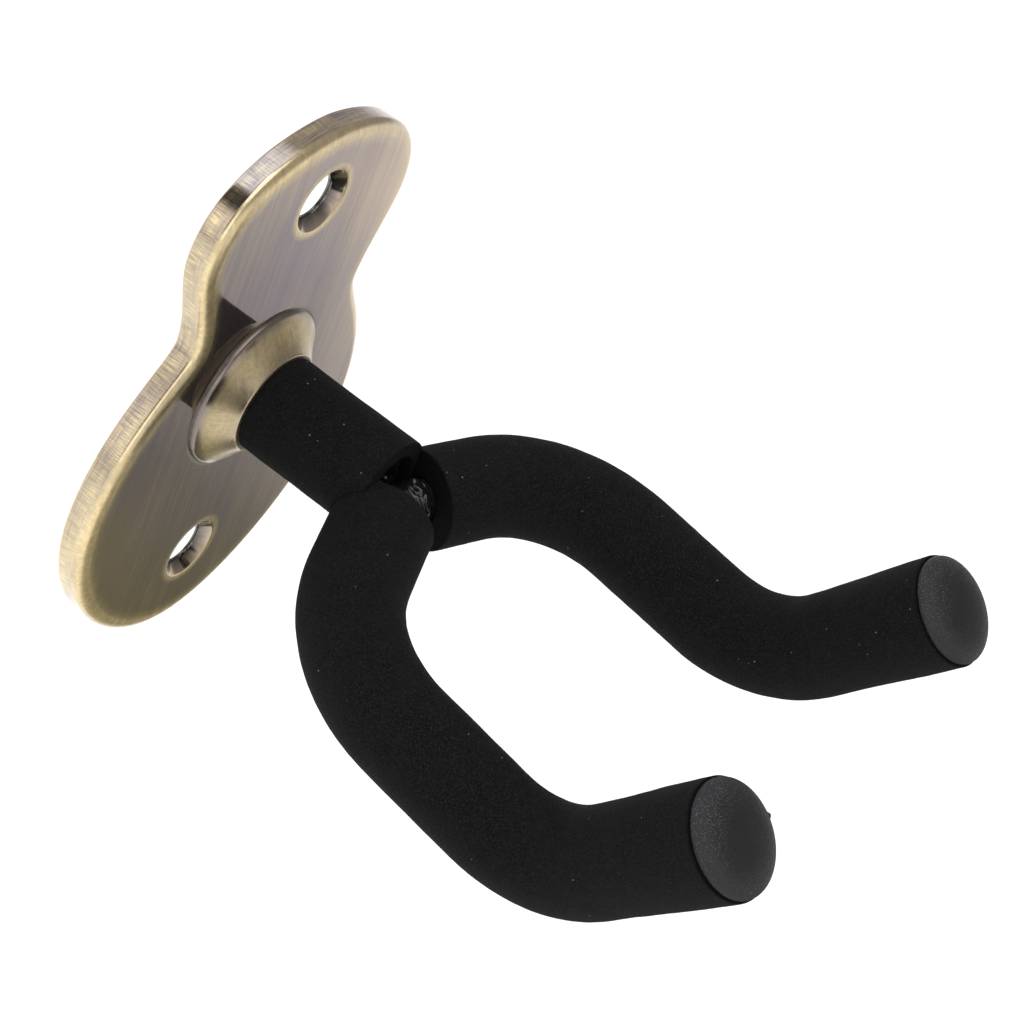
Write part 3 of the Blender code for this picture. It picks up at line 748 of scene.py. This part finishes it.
def apply_booleans(target, cutters):
    for cutter in cutters:
        step = target.modifiers.new(cutter.name, "BOOLEAN")
        step.operation = "DIFFERENCE"
        step.solver = "EXACT"
        step.object = cutter
    bpy.context.view_layer.update()
    graph = bpy.context.evaluated_depsgraph_get()
    mesh = bpy.data.meshes.new_from_object(target.evaluated_get(graph))
    material = target.data.materials[0]
    target.modifiers.clear()
    target.data = mesh
    mesh.materials.clear()
    mesh.materials.append(material)
    mesh.polygons.foreach_set("material_index", [0] * len(mesh.polygons))
    mesh.polygons.foreach_set("use_smooth", [True] * len(mesh.polygons))
    mesh.set_sharp_from_angle(angle=math.radians(40))
    for cutter in cutters:
        bpy.data.objects.remove(cutter)


def tip_frame(name, side):
    """The seat of a cap, whose local +Z runs on out of the arm, pressed on a little crooked."""
    route = arm_route(side, ARM_FOAM_PAST_ROD)
    direction = (route[-1] - route[-2]).normalized()
    facing = Vector((0.0, 0.0, 1.0)).rotation_difference(direction).to_matrix().to_4x4()
    across = direction.cross(Vector((1.0, 0.0, 0.0))).normalized()
    lean = Matrix.Rotation(CAP_LEAN[name], 4, across)
    return fork_frame() @ Matrix.Translation(route[-1]) @ lean @ facing


def raise_nub(shell, place):
    """The stub of a moulding gate on the dome's edge."""
    centre = place @ Vector(NUB_PLACE)
    outward = place.to_3x3() @ Vector(NUB_POINTS)
    for k, point in enumerate(shell.points):
        near = (Vector(point) - centre).length / NUB_RADIUS
        if near < 1:
            shell.points[k] = tuple(Vector(point) + outward * NUB_HEIGHT * (1 - near * near) ** 1.5)


def make_cap(name, side, material):
    """A soft rubber dome with a thin rim, on a socket round the rod."""
    shell = Shell()
    steps = 240
    place = tip_frame(name, side)
    base = 0.12 * MM
    foot = base + CAP_RIM
    profile = softened([
        *mm(((0.0, -0.9), (4.1, -0.9), (4.1, -8.0), (5.6, -8.0))), (5.6 * MM, base), (CAP - 0.1 * MM, base), (CAP, foot),
    ], 0.16 * MM, 4)
    rim = [1.0] * len(profile)
    dome = 40
    for step in range(1, dome + 1):
        t = math.radians(90) * (1 - step / dome)
        radius = CAP * math.sin(t) ** 0.94 if t > 0 else 0.0
        height = foot + (CAP_HEIGHT - foot) * math.cos(t) ** 1.05
        profile.append((radius, height))
        rim.append(clamped((radius / CAP - 0.35) / 0.5))
    # Painted glints: how strongly the pebbles near the rim are painted light, most on one side of the cap.
    glint_weight = [0.18 + 0.82 * max(0.0, math.cos(a - GLINT_TOWARDS)) ** 1.5 for a in angles_round(steps)]
    grained = [[edge * amount for amount in glint_weight] for edge in rim]
    grained[0] = grained[-1] = 0.0
    turn(shell, profile, place, steps=steps, rim=rim, grained=grained, run=0.0)
    if name == "left":
        raise_nub(shell, place)
    shell.build(f"{name}_rubber_cap", material, "fork", f"{name}_end_cap", sharp=50)


# ---------------------------------------------------------------- materials

class Nodes:
    """One material and the nodes that make it. `sockets` are constants on its shader, with _ for each space."""

    def __init__(self, name, glowing=False, **sockets):
        self.material = bpy.data.materials.new(name)
        self.material.use_nodes = True
        self.tree = self.material.node_tree
        if glowing:
            self.tree.nodes.clear()
            self.shader = self.node("Emission")
            self.tree.links.new(self.shader.outputs[0], self.node("OutputMaterial").inputs[0])
        else:
            self.shader = self.tree.nodes["Principled BSDF"]
        self.shade(**sockets)
        self.place = self.node("TexCoord").outputs["Object"]

    def node(self, kind, values=None, **settings):
        made = self.tree.nodes.new("ShaderNode" + kind)
        for key, value in settings.items():
            setattr(made, key, value)
        for key, value in (values or {}).items():
            self.feed(made.inputs[key], value)
        return made

    def feed(self, socket, value):
        if isinstance(value, bpy.types.NodeSocket):
            self.tree.links.new(value, socket)
        else:
            socket.default_value = value

    def shade(self, **values):
        for key, value in values.items():
            self.feed(self.shader.inputs[key.replace("_", " ")], value)

    def bump(self, height, strength, distance):
        made = self.node("Bump", {"Height": height, "Strength": strength, "Distance": distance})
        self.shade(Normal=made.outputs[0])

    def mark(self, name):
        return self.node("Attribute", attribute_name=name, attribute_type="GEOMETRY").outputs["Fac"]

    def split(self, vector):
        return self.node("SeparateXYZ", {0: vector}).outputs[:3]

    def maths(self, operation, a, b=0.0, clamp=False):
        return self.node("Math", {0: a, 1: b}, operation=operation, use_clamp=clamp).outputs[0]

    def times(self, a, b, clamp=False):
        return self.maths("MULTIPLY", a, b, clamp)

    def plus(self, a, b, clamp=False):
        return self.maths("ADD", a, b, clamp)

    def ranged(self, value, low, high, to_low=0.0, to_high=1.0):
        return self.node("MapRange", {
            "Value": value, "From Min": low, "From Max": high, "To Min": to_low, "To Max": to_high}).outputs[0]

    def mixed(self, factor, a, b):
        return self.node("Mix", {0: factor, 2: a, 3: b}, data_type="FLOAT").outputs[0]

    def blended(self, factor, a, b):
        """Between two colours, each a socket or three numbers."""
        a, b = ((*colour, 1.0) if isinstance(colour, tuple) else colour for colour in (a, b))
        return self.node("Mix", {0: factor, 6: a, 7: b}, data_type="RGBA").outputs[2]

    def graded(self, factor, *stops):
        """A colour ramp through stops of (position, red, green, blue)."""
        made = self.node("ValToRGB", {0: factor})
        ends = made.color_ramp.elements
        for element, stop in zip(ends, (stops[0], stops[-1])):
            element.position, element.color = stop[0], (*stop[1:], 1)
        for stop in stops[1:-1]:
            ends.new(stop[0]).color = (*stop[1:], 1)
        return made.outputs[0]

    def noisy(self, scale, detail=2.0, roughness=0.5, vector=None):
        return self.node("TexNoise", {
            "Vector": vector or self.place, "Scale": scale, "Detail": detail, "Roughness": roughness}).outputs["Fac"]

    def stretched(self, scale, detail=2.0, roughness=0.55, vector=None):
        """Noise in a space stretched by `scale`."""
        moved = self.node("VectorMath", {0: vector or self.place, 1: scale}, operation="MULTIPLY")
        return self.noisy(1.0, detail, roughness, moved.outputs[0])

    def specks(self, scale, size, edge, least):
        """Lone round specks: the Voronoi cells whose random value is over `least`."""
        dots = self.node("TexVoronoi", {"Vector": self.place, "Scale": scale, "Randomness": 1.0})
        near = self.ranged(dots.outputs["Distance"], size, edge, 1.0, 0.0)
        chosen = self.node("SeparateColor", {0: dots.outputs["Color"]}).outputs[0]
        return self.times(near, self.ranged(chosen, least, least + 0.04), True)


def brass_material():
    """Antique brass: brown-mauve patina left on the flats, brushed back to gold on the edges, under lacquer, with
    painted light: the face is painted lighter and darker by position as painted reflection, and the left wall, the
    boss, the crease at its foot and the hole cones get painted shade.
    """
    n = Nodes(
        "antique_brass_brushed", Metallic=0.95, Coat_Weight=0.25, Coat_Roughness=0.08, Coat_IOR=1.45,
        Coat_Tint=(1.0, 0.985, 0.955, 1.0))
    worn, wall, cast, bare, spun, run = map(n.mark, ("worn", "wall", "cast", "bare", "spun", "run"))
    x, y, z = n.split(n.place)
    around = n.node("CombineXYZ", {0: run, 1: y, 2: 0.0}).outputs[0]

    fine = n.stretched((2300.0, 300.0, 55.0))
    broad = n.stretched((520.0, 60.0, 14.0))
    patches = n.stretched((55.0, 55.0, 30.0), 3.0)
    rough_cast = n.stretched((900.0, 900.0, 900.0), 5.0, 0.7)
    across = n.stretched((5200.0, 300.0, 1.0), 4.0, 0.6, around)
    along = n.stretched((150.0, 5200.0, 1.0), 3.0, 0.65, around)
    zones = n.stretched((95.0, 420.0, 1.0), vector=around)
    flutes = n.stretched((420.0, 60.0, 1.0), 3.0, 0.7, around)
    face_streak = n.mixed(0.45, fine, broad)
    lengthwise = n.ranged(zones, 0.42, 0.62, 0.06, 0.55)
    lengthwise = n.plus(lengthwise, n.ranged(z, 0.047, 0.053, 0.0, 0.35), True)
    wall_streak = n.mixed(lengthwise, across, along)

    face_lift = n.ranged(face_streak, 0.3, 0.7, -0.10, 0.14)
    wall_lift = n.plus(n.ranged(wall_streak, 0.34, 0.66, -0.40, 0.44), n.ranged(zones, 0.3, 0.7, 0.22, -0.30))
    tone = n.plus(worn, n.mixed(wall, face_lift, wall_lift))
    tone = n.plus(tone, n.ranged(patches, 0.3, 0.7, -0.08, 0.12), True)
    oxide_and_painted_light = n.blended(n.ranged(patches, 0.35, 0.65), (0.350, 0.289, 0.290), (0.385, 0.315, 0.280))
    # Painted reflection on the face: lighter towards the right, darker and warmer towards the bottom, lighter and
    # warmer at the lower left; only the patches above are real patina.
    for part, colour in (
        (n.ranged(x, 0.012, 0.028), (0.575, 0.470, 0.400)),
        (n.ranged(z, -0.020, -0.055), (0.335, 0.275, 0.190)),
        (n.times(n.ranged(x, -0.008, -0.030), n.ranged(z, -0.006, -0.026)), (0.455, 0.375, 0.275)),
    ):
        oxide_and_painted_light = n.blended(part, oxide_and_painted_light, colour)
    gold = n.blended(wall, (0.78, 0.63, 0.355), (0.84, 0.70, 0.42))
    colour = n.blended(tone, oxide_and_painted_light, gold)

    shoulder = n.times(worn, n.ranged(wall, 0.55, 1.0, 1.0, 0.0))
    # Painted shade: the left side wall is darkened in a band from about 2 to 40 mm above the swivel's axis.
    painted_shade_band = n.times(n.ranged(z, 0.002, 0.012), n.ranged(z, 0.040, 0.030))
    painted_shade_band = n.times(painted_shade_band, n.times(wall, n.ranged(x, 0.0, -0.015)))
    shade = n.mixed(wall, n.ranged(face_streak, 0.3, 0.7, 0.93, 1.07), n.ranged(wall_streak, 0.34, 0.64, 0.74, 1.12))
    # Painted shade: the boss is darkened, more on its right side than on its left.
    for mark, dimmer in (
        (spun, n.ranged(x, -0.012, 0.012, 0.76, 0.52)), (painted_shade_band, 0.87),
        (shoulder, n.ranged(rough_cast, 0.35, 0.65, 0.80, 1.10)),
    ):
        shade = n.times(shade, n.mixed(mark, 1.0, dimmer))
    colour = n.node("VectorMath", {0: colour, 1: shade}, operation="MULTIPLY").outputs[0]
    # On the back this is the colour of the rough casting; on the boss's foot lip it is painted shade.
    colour = n.blended(cast, colour, n.blended(rough_cast, (0.17, 0.145, 0.11), (0.30, 0.25, 0.17)))
    # Painted shade: a near-black metal colour for the hole cones and the boss's foot lip.
    cone = n.blended(n.ranged(flutes, 0.35, 0.65), (0.040, 0.040, 0.040), (0.155, 0.155, 0.148))
    gloss = n.mixed(wall, n.ranged(face_streak, 0.25, 0.75, 0.035, 0.075), n.ranged(wall_streak, 0.3, 0.7, 0.055, 0.13))
    gloss = n.mixed(bare, n.plus(gloss, n.times(shoulder, 0.35)), 0.13)
    n.shade(Base_Color=n.blended(n.times(bare, 0.9), colour, cone), Roughness=n.mixed(cast, gloss, 0.5))
    depth = n.times(n.mixed(wall, 0.03, 0.40), n.mixed(spun, 1.0, 0.4))
    relief = n.times(n.mixed(wall, face_streak, wall_streak), depth)
    n.bump(n.mixed(cast, relief, rough_cast), 0.5, 0.00004)
    return n.material


def foam_material():
    """Closed-cell rubber foam: matte black with fine open pores and a few specks of dust; its cut end faces and bore
    are painted darker as shade.
    """
    n = Nodes("black_cellular_foam", Roughness=0.85, Specular_IOR_Level=0.07, Sheen_Weight=0.012, Sheen_Roughness=0.6)
    grain = n.noisy(3800.0, 3.0, 0.7)
    cells = n.node("TexVoronoi", {"Vector": n.place, "Scale": 2700.0, "Randomness": 1.0}).outputs["Distance"]
    colour = n.blended(n.ranged(grain, 0.46, 0.68), (0.0014, 0.0014, 0.0015), (0.0130, 0.0130, 0.0134))
    for part, over in (
        (n.ranged(n.noisy(260.0), 0.35, 0.7, 0.0, 0.35), (0.0060, 0.0060, 0.0064)),
        (n.times(n.specks(520.0, 0.05, 0.085, 0.86), 0.55), (0.30, 0.29, 0.27)),
        (n.times(n.ranged(grain, 0.66, 0.74), 0.8, True), (0.034, 0.034, 0.035)),
        # Painted shade: the cut end faces and the bore are painted near-black.
        (n.times(n.mark("cut"), 0.95), (0.0012, 0.0012, 0.0013)),
    ):
        colour = n.blended(part, colour, over)
    n.shade(Base_Color=colour)
    n.bump(n.mixed(0.45, grain, n.maths("SUBTRACT", 1.0, cells)), 0.9, 0.00022)
    return n.material


def rubber_material():
    """Soft grey rubber with a skin of fine pebbles that fades towards the crown, with painted highlights: glints on the
    pebbles near the rim on one side, and a lighter rim.
    """
    n = Nodes("grey_rubber_pebbled", Specular_IOR_Level=0.16)
    rim = n.mark("rim")
    pebbles = n.node("TexVoronoi", {
        "Vector": n.place, "Scale": 3300.0, "Randomness": 0.85, "Smoothness": 0.45},
        feature="SMOOTH_F1").outputs["Distance"]
    grain = n.noisy(2600.0, 3.0, 0.6)
    glinting_pebbles = n.times(n.ranged(pebbles, 0.34, 0.14), n.mark("grained"))
    colour = n.blended(n.noisy(300.0, 3.0), (0.0095, 0.0095, 0.0105), (0.0145, 0.0145, 0.0160))
    for part, over in (
        # Painted glints: pebbles near the rim, most on one side, are painted light grey.
        (n.times(glinting_pebbles, 0.75, True), (0.17, 0.17, 0.175)),
        # Painted highlight: the dome is painted lighter towards its rim.
        (n.times(n.maths("POWER", rim, 3.0), 0.35), (0.040, 0.040, 0.042)),
        (n.times(n.specks(430.0, 0.045, 0.07, 0.88), 0.6), (0.36, 0.35, 0.34)),
    ):
        colour = n.blended(part, colour, over)
    n.shade(Base_Color=colour, Roughness=n.ranged(grain, 0.3, 0.7, 0.42, 0.58))
    height = n.times(n.maths("SUBTRACT", 1.0, pebbles), n.mixed(rim, 0.12, 1.0))
    n.bump(n.plus(height, n.times(grain, 0.25)), 0.9, 0.00020)
    return n.material


def paint_material():
    """Thick gloss black paint with a little orange peel."""
    n = Nodes("gloss_black_paint")
    haze = n.noisy(180.0, 3.0)
    n.shade(
        Base_Color=n.blended(haze, (0.004, 0.004, 0.0045), (0.009, 0.009, 0.010)),
        Roughness=n.ranged(haze, 0.3, 0.7, 0.07, 0.14))
    n.bump(n.noisy(900.0), 0.4, 0.00008)
    return n.material


def steel_material():
    """Zinc-plated steel with rolling marks and a faint bloom."""
    n = Nodes("zinc_plated_steel_bright", Metallic=1.0)
    marks = n.stretched((2400.0, 400.0, 160.0), 3.0)
    bloom = n.noisy(450.0, 4.0)
    n.shade(
        Base_Color=n.blended(bloom, (0.50, 0.51, 0.53), (0.66, 0.65, 0.61)),
        Roughness=n.ranged(n.mixed(0.5, marks, bloom), 0.3, 0.7, 0.22, 0.42))
    n.bump(marks, 0.3, 0.00003)
    return n.material


def nylon_material():
    """Natural nylon, slightly waxy, with fine turning marks."""
    n = Nodes("natural_nylon", Subsurface_Weight=0.15, Subsurface_Scale=0.0006)
    wax = n.noisy(500.0, 3.0)
    rings = n.node("TexWave", {
        "Vector": n.place, "Scale": 1400.0, "Distortion": 1.5, "Detail": 2.0},
        wave_type="RINGS", rings_direction="Y").outputs["Fac"]
    n.shade(
        Base_Color=n.blended(wax, (0.66, 0.64, 0.56), (0.78, 0.76, 0.69)),
        Roughness=n.ranged(wax, 0.3, 0.7, 0.38, 0.5))
    n.bump(rings, 0.25, 0.00002)
    return n.material


# ---------------------------------------------------------------- studio

FLOOR_HEIGHT = -0.30
FLOOR_REACH = 6.0
CARD_HEIGHT = FLOOR_HEIGHT + 0.004
DOME = 20.0
CAMERA_RIGHT = Vector((0.5279, -0.774719, 0.348041))
CAMERA_DOWN = Vector((-0.36117, -0.57567, -0.733594))
CAMERA_FORWARD = Vector((0.768686, 0.261562, -0.583701))
CAMERA_SHIFT = Vector((-0.0496461, -0.0251078, 0.4729548))
CAMERA_LENS = 94.463
SENSOR = 36.0


def flat_sheet(name, x_range, y_range, height, divisions=1):
    """A level rectangle of the studio."""
    points, faces = [], []
    for i in range(divisions + 1):
        for j in range(divisions + 1):
            x, y = (low + (high - low) * k / divisions for (low, high), k in ((x_range, i), (y_range, j)))
            points.append((x, y, height))
    for i in range(divisions):
        for j in range(divisions):
            k = i * (divisions + 1) + j
            faces.append((k, k + 1, k + divisions + 2, k + divisions + 1))
    return staged(name, points, faces)


def staged(name, points, faces):
    mesh = bpy.data.meshes.new(name)
    mesh.from_pydata(points, [], faces)
    made = linked(name, mesh)
    return made


def make_floor():
    reach = (-FLOOR_REACH, FLOOR_REACH)
    floor = flat_sheet("studio_floor", reach, reach, FLOOR_HEIGHT, 4)
    n = Nodes("pale_floor", Roughness=0.9, Specular_IOR_Level=0.1)
    n.shade(Base_Color=n.blended(n.noisy(3.0), (0.945, 0.945, 0.945), (0.955, 0.955, 0.955)))
    floor.data.materials.append(n.material)


def only_for_mirrors(piece, material):
    """Only reflections see the piece, as they would a studio's flags and walls outside the picture."""
    for ray in ("camera", "diffuse", "shadow", "transmission", "volume_scatter"):
        setattr(piece, f"visible_{ray}", False)
    piece.data.materials.append(material)


def make_card():
    """A grey card low on the right that glows, dim near the hanger and brighter further right, and is seen only in
    reflections.
    """
    n = Nodes("grey_card", glowing=True, Strength=1.0)
    n.shade(Color=n.graded(
        n.ranged(n.split(n.place)[0], 0.20, 0.70),
        (0.0, 0.20, 0.19, 0.12), (0.10, 0.22, 0.21, 0.15), (0.22, 0.25, 0.25, 0.23), (0.32, 0.40, 0.40, 0.40),
        (0.52, 0.62, 0.63, 0.68), (0.66, 0.95, 0.93, 0.86), (0.80, 1.0, 0.99, 0.95)))
    only_for_mirrors(flat_sheet("studio_card", (0.02, 1.30), (-0.70, -0.035), CARD_HEIGHT), n.material)


def make_world():
    world = bpy.data.worlds.new("studio")
    bpy.context.scene.world = world
    world.use_nodes = True
    background = world.node_tree.nodes["Background"]
    background.inputs["Color"].default_value = (1.0, 1.0, 1.0, 1.0)
    background.inputs["Strength"].default_value = 1.08
    world.cycles_visibility.glossy = False


def make_dome():
    """What the shiny pieces mirror: a softbox overhead, a dark gap to its left, dimmer walls front and right."""
    shell = Shell()
    steps = 48
    rings = []
    for k in range(1, steps):
        a = math.pi * k / steps
        rings.append(shell.ring(circle(Matrix.Identity(4), DOME * math.sin(a), 2 * steps, DOME * math.cos(a))))
    shell.join(rings)
    shell.fan(rings[0], Vector((0.0, 0.0, DOME)))
    shell.fan(rings[-1], Vector((0.0, 0.0, -DOME)))
    n = Nodes("studio_walls", glowing=True, Strength=1.0)
    way = n.node("VectorMath", {0: n.place}, operation="NORMALIZE").outputs[0]
    x, y, z = n.split(way)
    arch = n.graded(
        n.ranged(n.maths("ARCTAN2", z, x), 0.0, math.pi),
        (0.0, 0.80, 0.79, 0.84), (0.045, 0.46, 0.45, 0.46), (0.16, 0.38, 0.375, 0.38), (0.34, 0.42, 0.41, 0.40),
        (0.352, 0.46, 0.45, 0.45), (0.375, 0.85, 0.88, 1.10), (0.41, 1.05, 1.12, 1.55), (0.60, 1.12, 1.18, 1.60),
        (0.622, 0.40, 0.38, 0.36), (0.638, 0.02, 0.02, 0.02), (0.722, 0.02, 0.02, 0.02), (0.748, 0.30, 0.29, 0.27),
        (0.780, 0.90, 0.90, 0.91), (0.82, 1.22, 1.20, 1.18), (0.94, 1.22, 1.20, 1.15), (1.0, 0.85, 0.84, 0.82))
    height = n.ranged(z, -0.2, 1.0)
    front_left = n.graded(
        height,
        (0.0, 1.05, 1.04, 1.02), (0.34, 1.05, 1.03, 1.00), (0.44, 0.70, 0.68, 0.65), (0.54, 0.34, 0.33, 0.31),
        (0.64, 0.30, 0.29, 0.28), (0.75, 0.38, 0.36, 0.33), (1.0, 0.42, 0.40, 0.36))
    front_right = n.graded(
        height,
        (0.0, 0.90, 0.90, 0.90), (0.16, 0.80, 0.79, 0.78), (0.24, 0.34, 0.33, 0.31), (0.54, 0.34, 0.33, 0.32),
        (0.70, 0.38, 0.37, 0.35), (1.0, 0.42, 0.40, 0.36))
    front = n.blended(n.ranged(x, 0.05, 0.45), front_left, front_right)
    colour = n.blended(n.ranged(y, 0.33, 0.16), arch, front)
    n.shade(Color=n.blended(n.ranged(z, -0.02, -0.12), colour, (0.70, 0.70, 0.70)))
    only_for_mirrors(staged("studio_dome", shell.points, shell.faces), n.material)


def make_light(name, place, target, size, power, colour=(1.0, 1.0, 1.0)):
    data = bpy.data.lights.new(name, "AREA")
    data.shape = "RECTANGLE"
    data.size, data.size_y = size
    data.energy = power
    data.color = colour
    made = linked(name, data)
    made.location = place
    made.rotation_mode = "QUATERNION"
    made.rotation_quaternion = (Vector(target) - Vector(place)).to_track_quat("-Z", "Y")


def make_camera():
    data = bpy.data.cameras.new("camera")
    data.lens = CAMERA_LENS
    data.sensor_width = SENSOR
    data.clip_start, data.clip_end = 0.01, 60.0
    made = linked("camera", data)
    right, down, forward, shift = CAMERA_RIGHT, CAMERA_DOWN, CAMERA_FORWARD, CAMERA_SHIFT
    place = -(right * shift.x + down * shift.y + forward * shift.z)
    made.matrix_world = Matrix((
        (right.x, -down.x, -forward.x, place.x),
        (right.y, -down.y, -forward.y, place.y),
        (right.z, -down.z, -forward.z, place.z),
        (0.0, 0.0, 0.0, 1.0),
    ))
    bpy.context.scene.camera = made


def main():
    materials = {
        "brass": brass_material(),
        "foam": foam_material(),
        "rubber": rubber_material(),
        "paint": paint_material(),
        "steel": steel_material(),
        "nylon": nylon_material(),
    }
    make_camera()
    make_plate(materials["brass"])
    make_swivel(materials)
    finish_ring(materials["steel"])
    make_shank(materials["paint"])
    make_yoke_rod(materials["paint"])
    make_weld(materials["paint"])
    make_shank_sleeve(materials["foam"])
    for name, side in SIDES.items():
        make_arm_sleeve(name, side, materials["foam"])
        make_cap(name, side, materials["rubber"])
    make_floor()
    make_card()
    make_world()
    make_dome()
    make_light("top_softbox", (-0.25, -0.15, 1.1), (0.0, -0.05, 0.0), (0.9, 0.9), 5.0, (1.0, 0.99, 0.98))
    make_light("left_softbox", (-0.9, -0.6, 0.5), (0.0, -0.06, 0.0), (0.5, 0.7), 2.0)
    bpy.context.scene.view_settings.view_transform = "Standard"
    bpy.context.scene.view_settings.look = "None"


main()
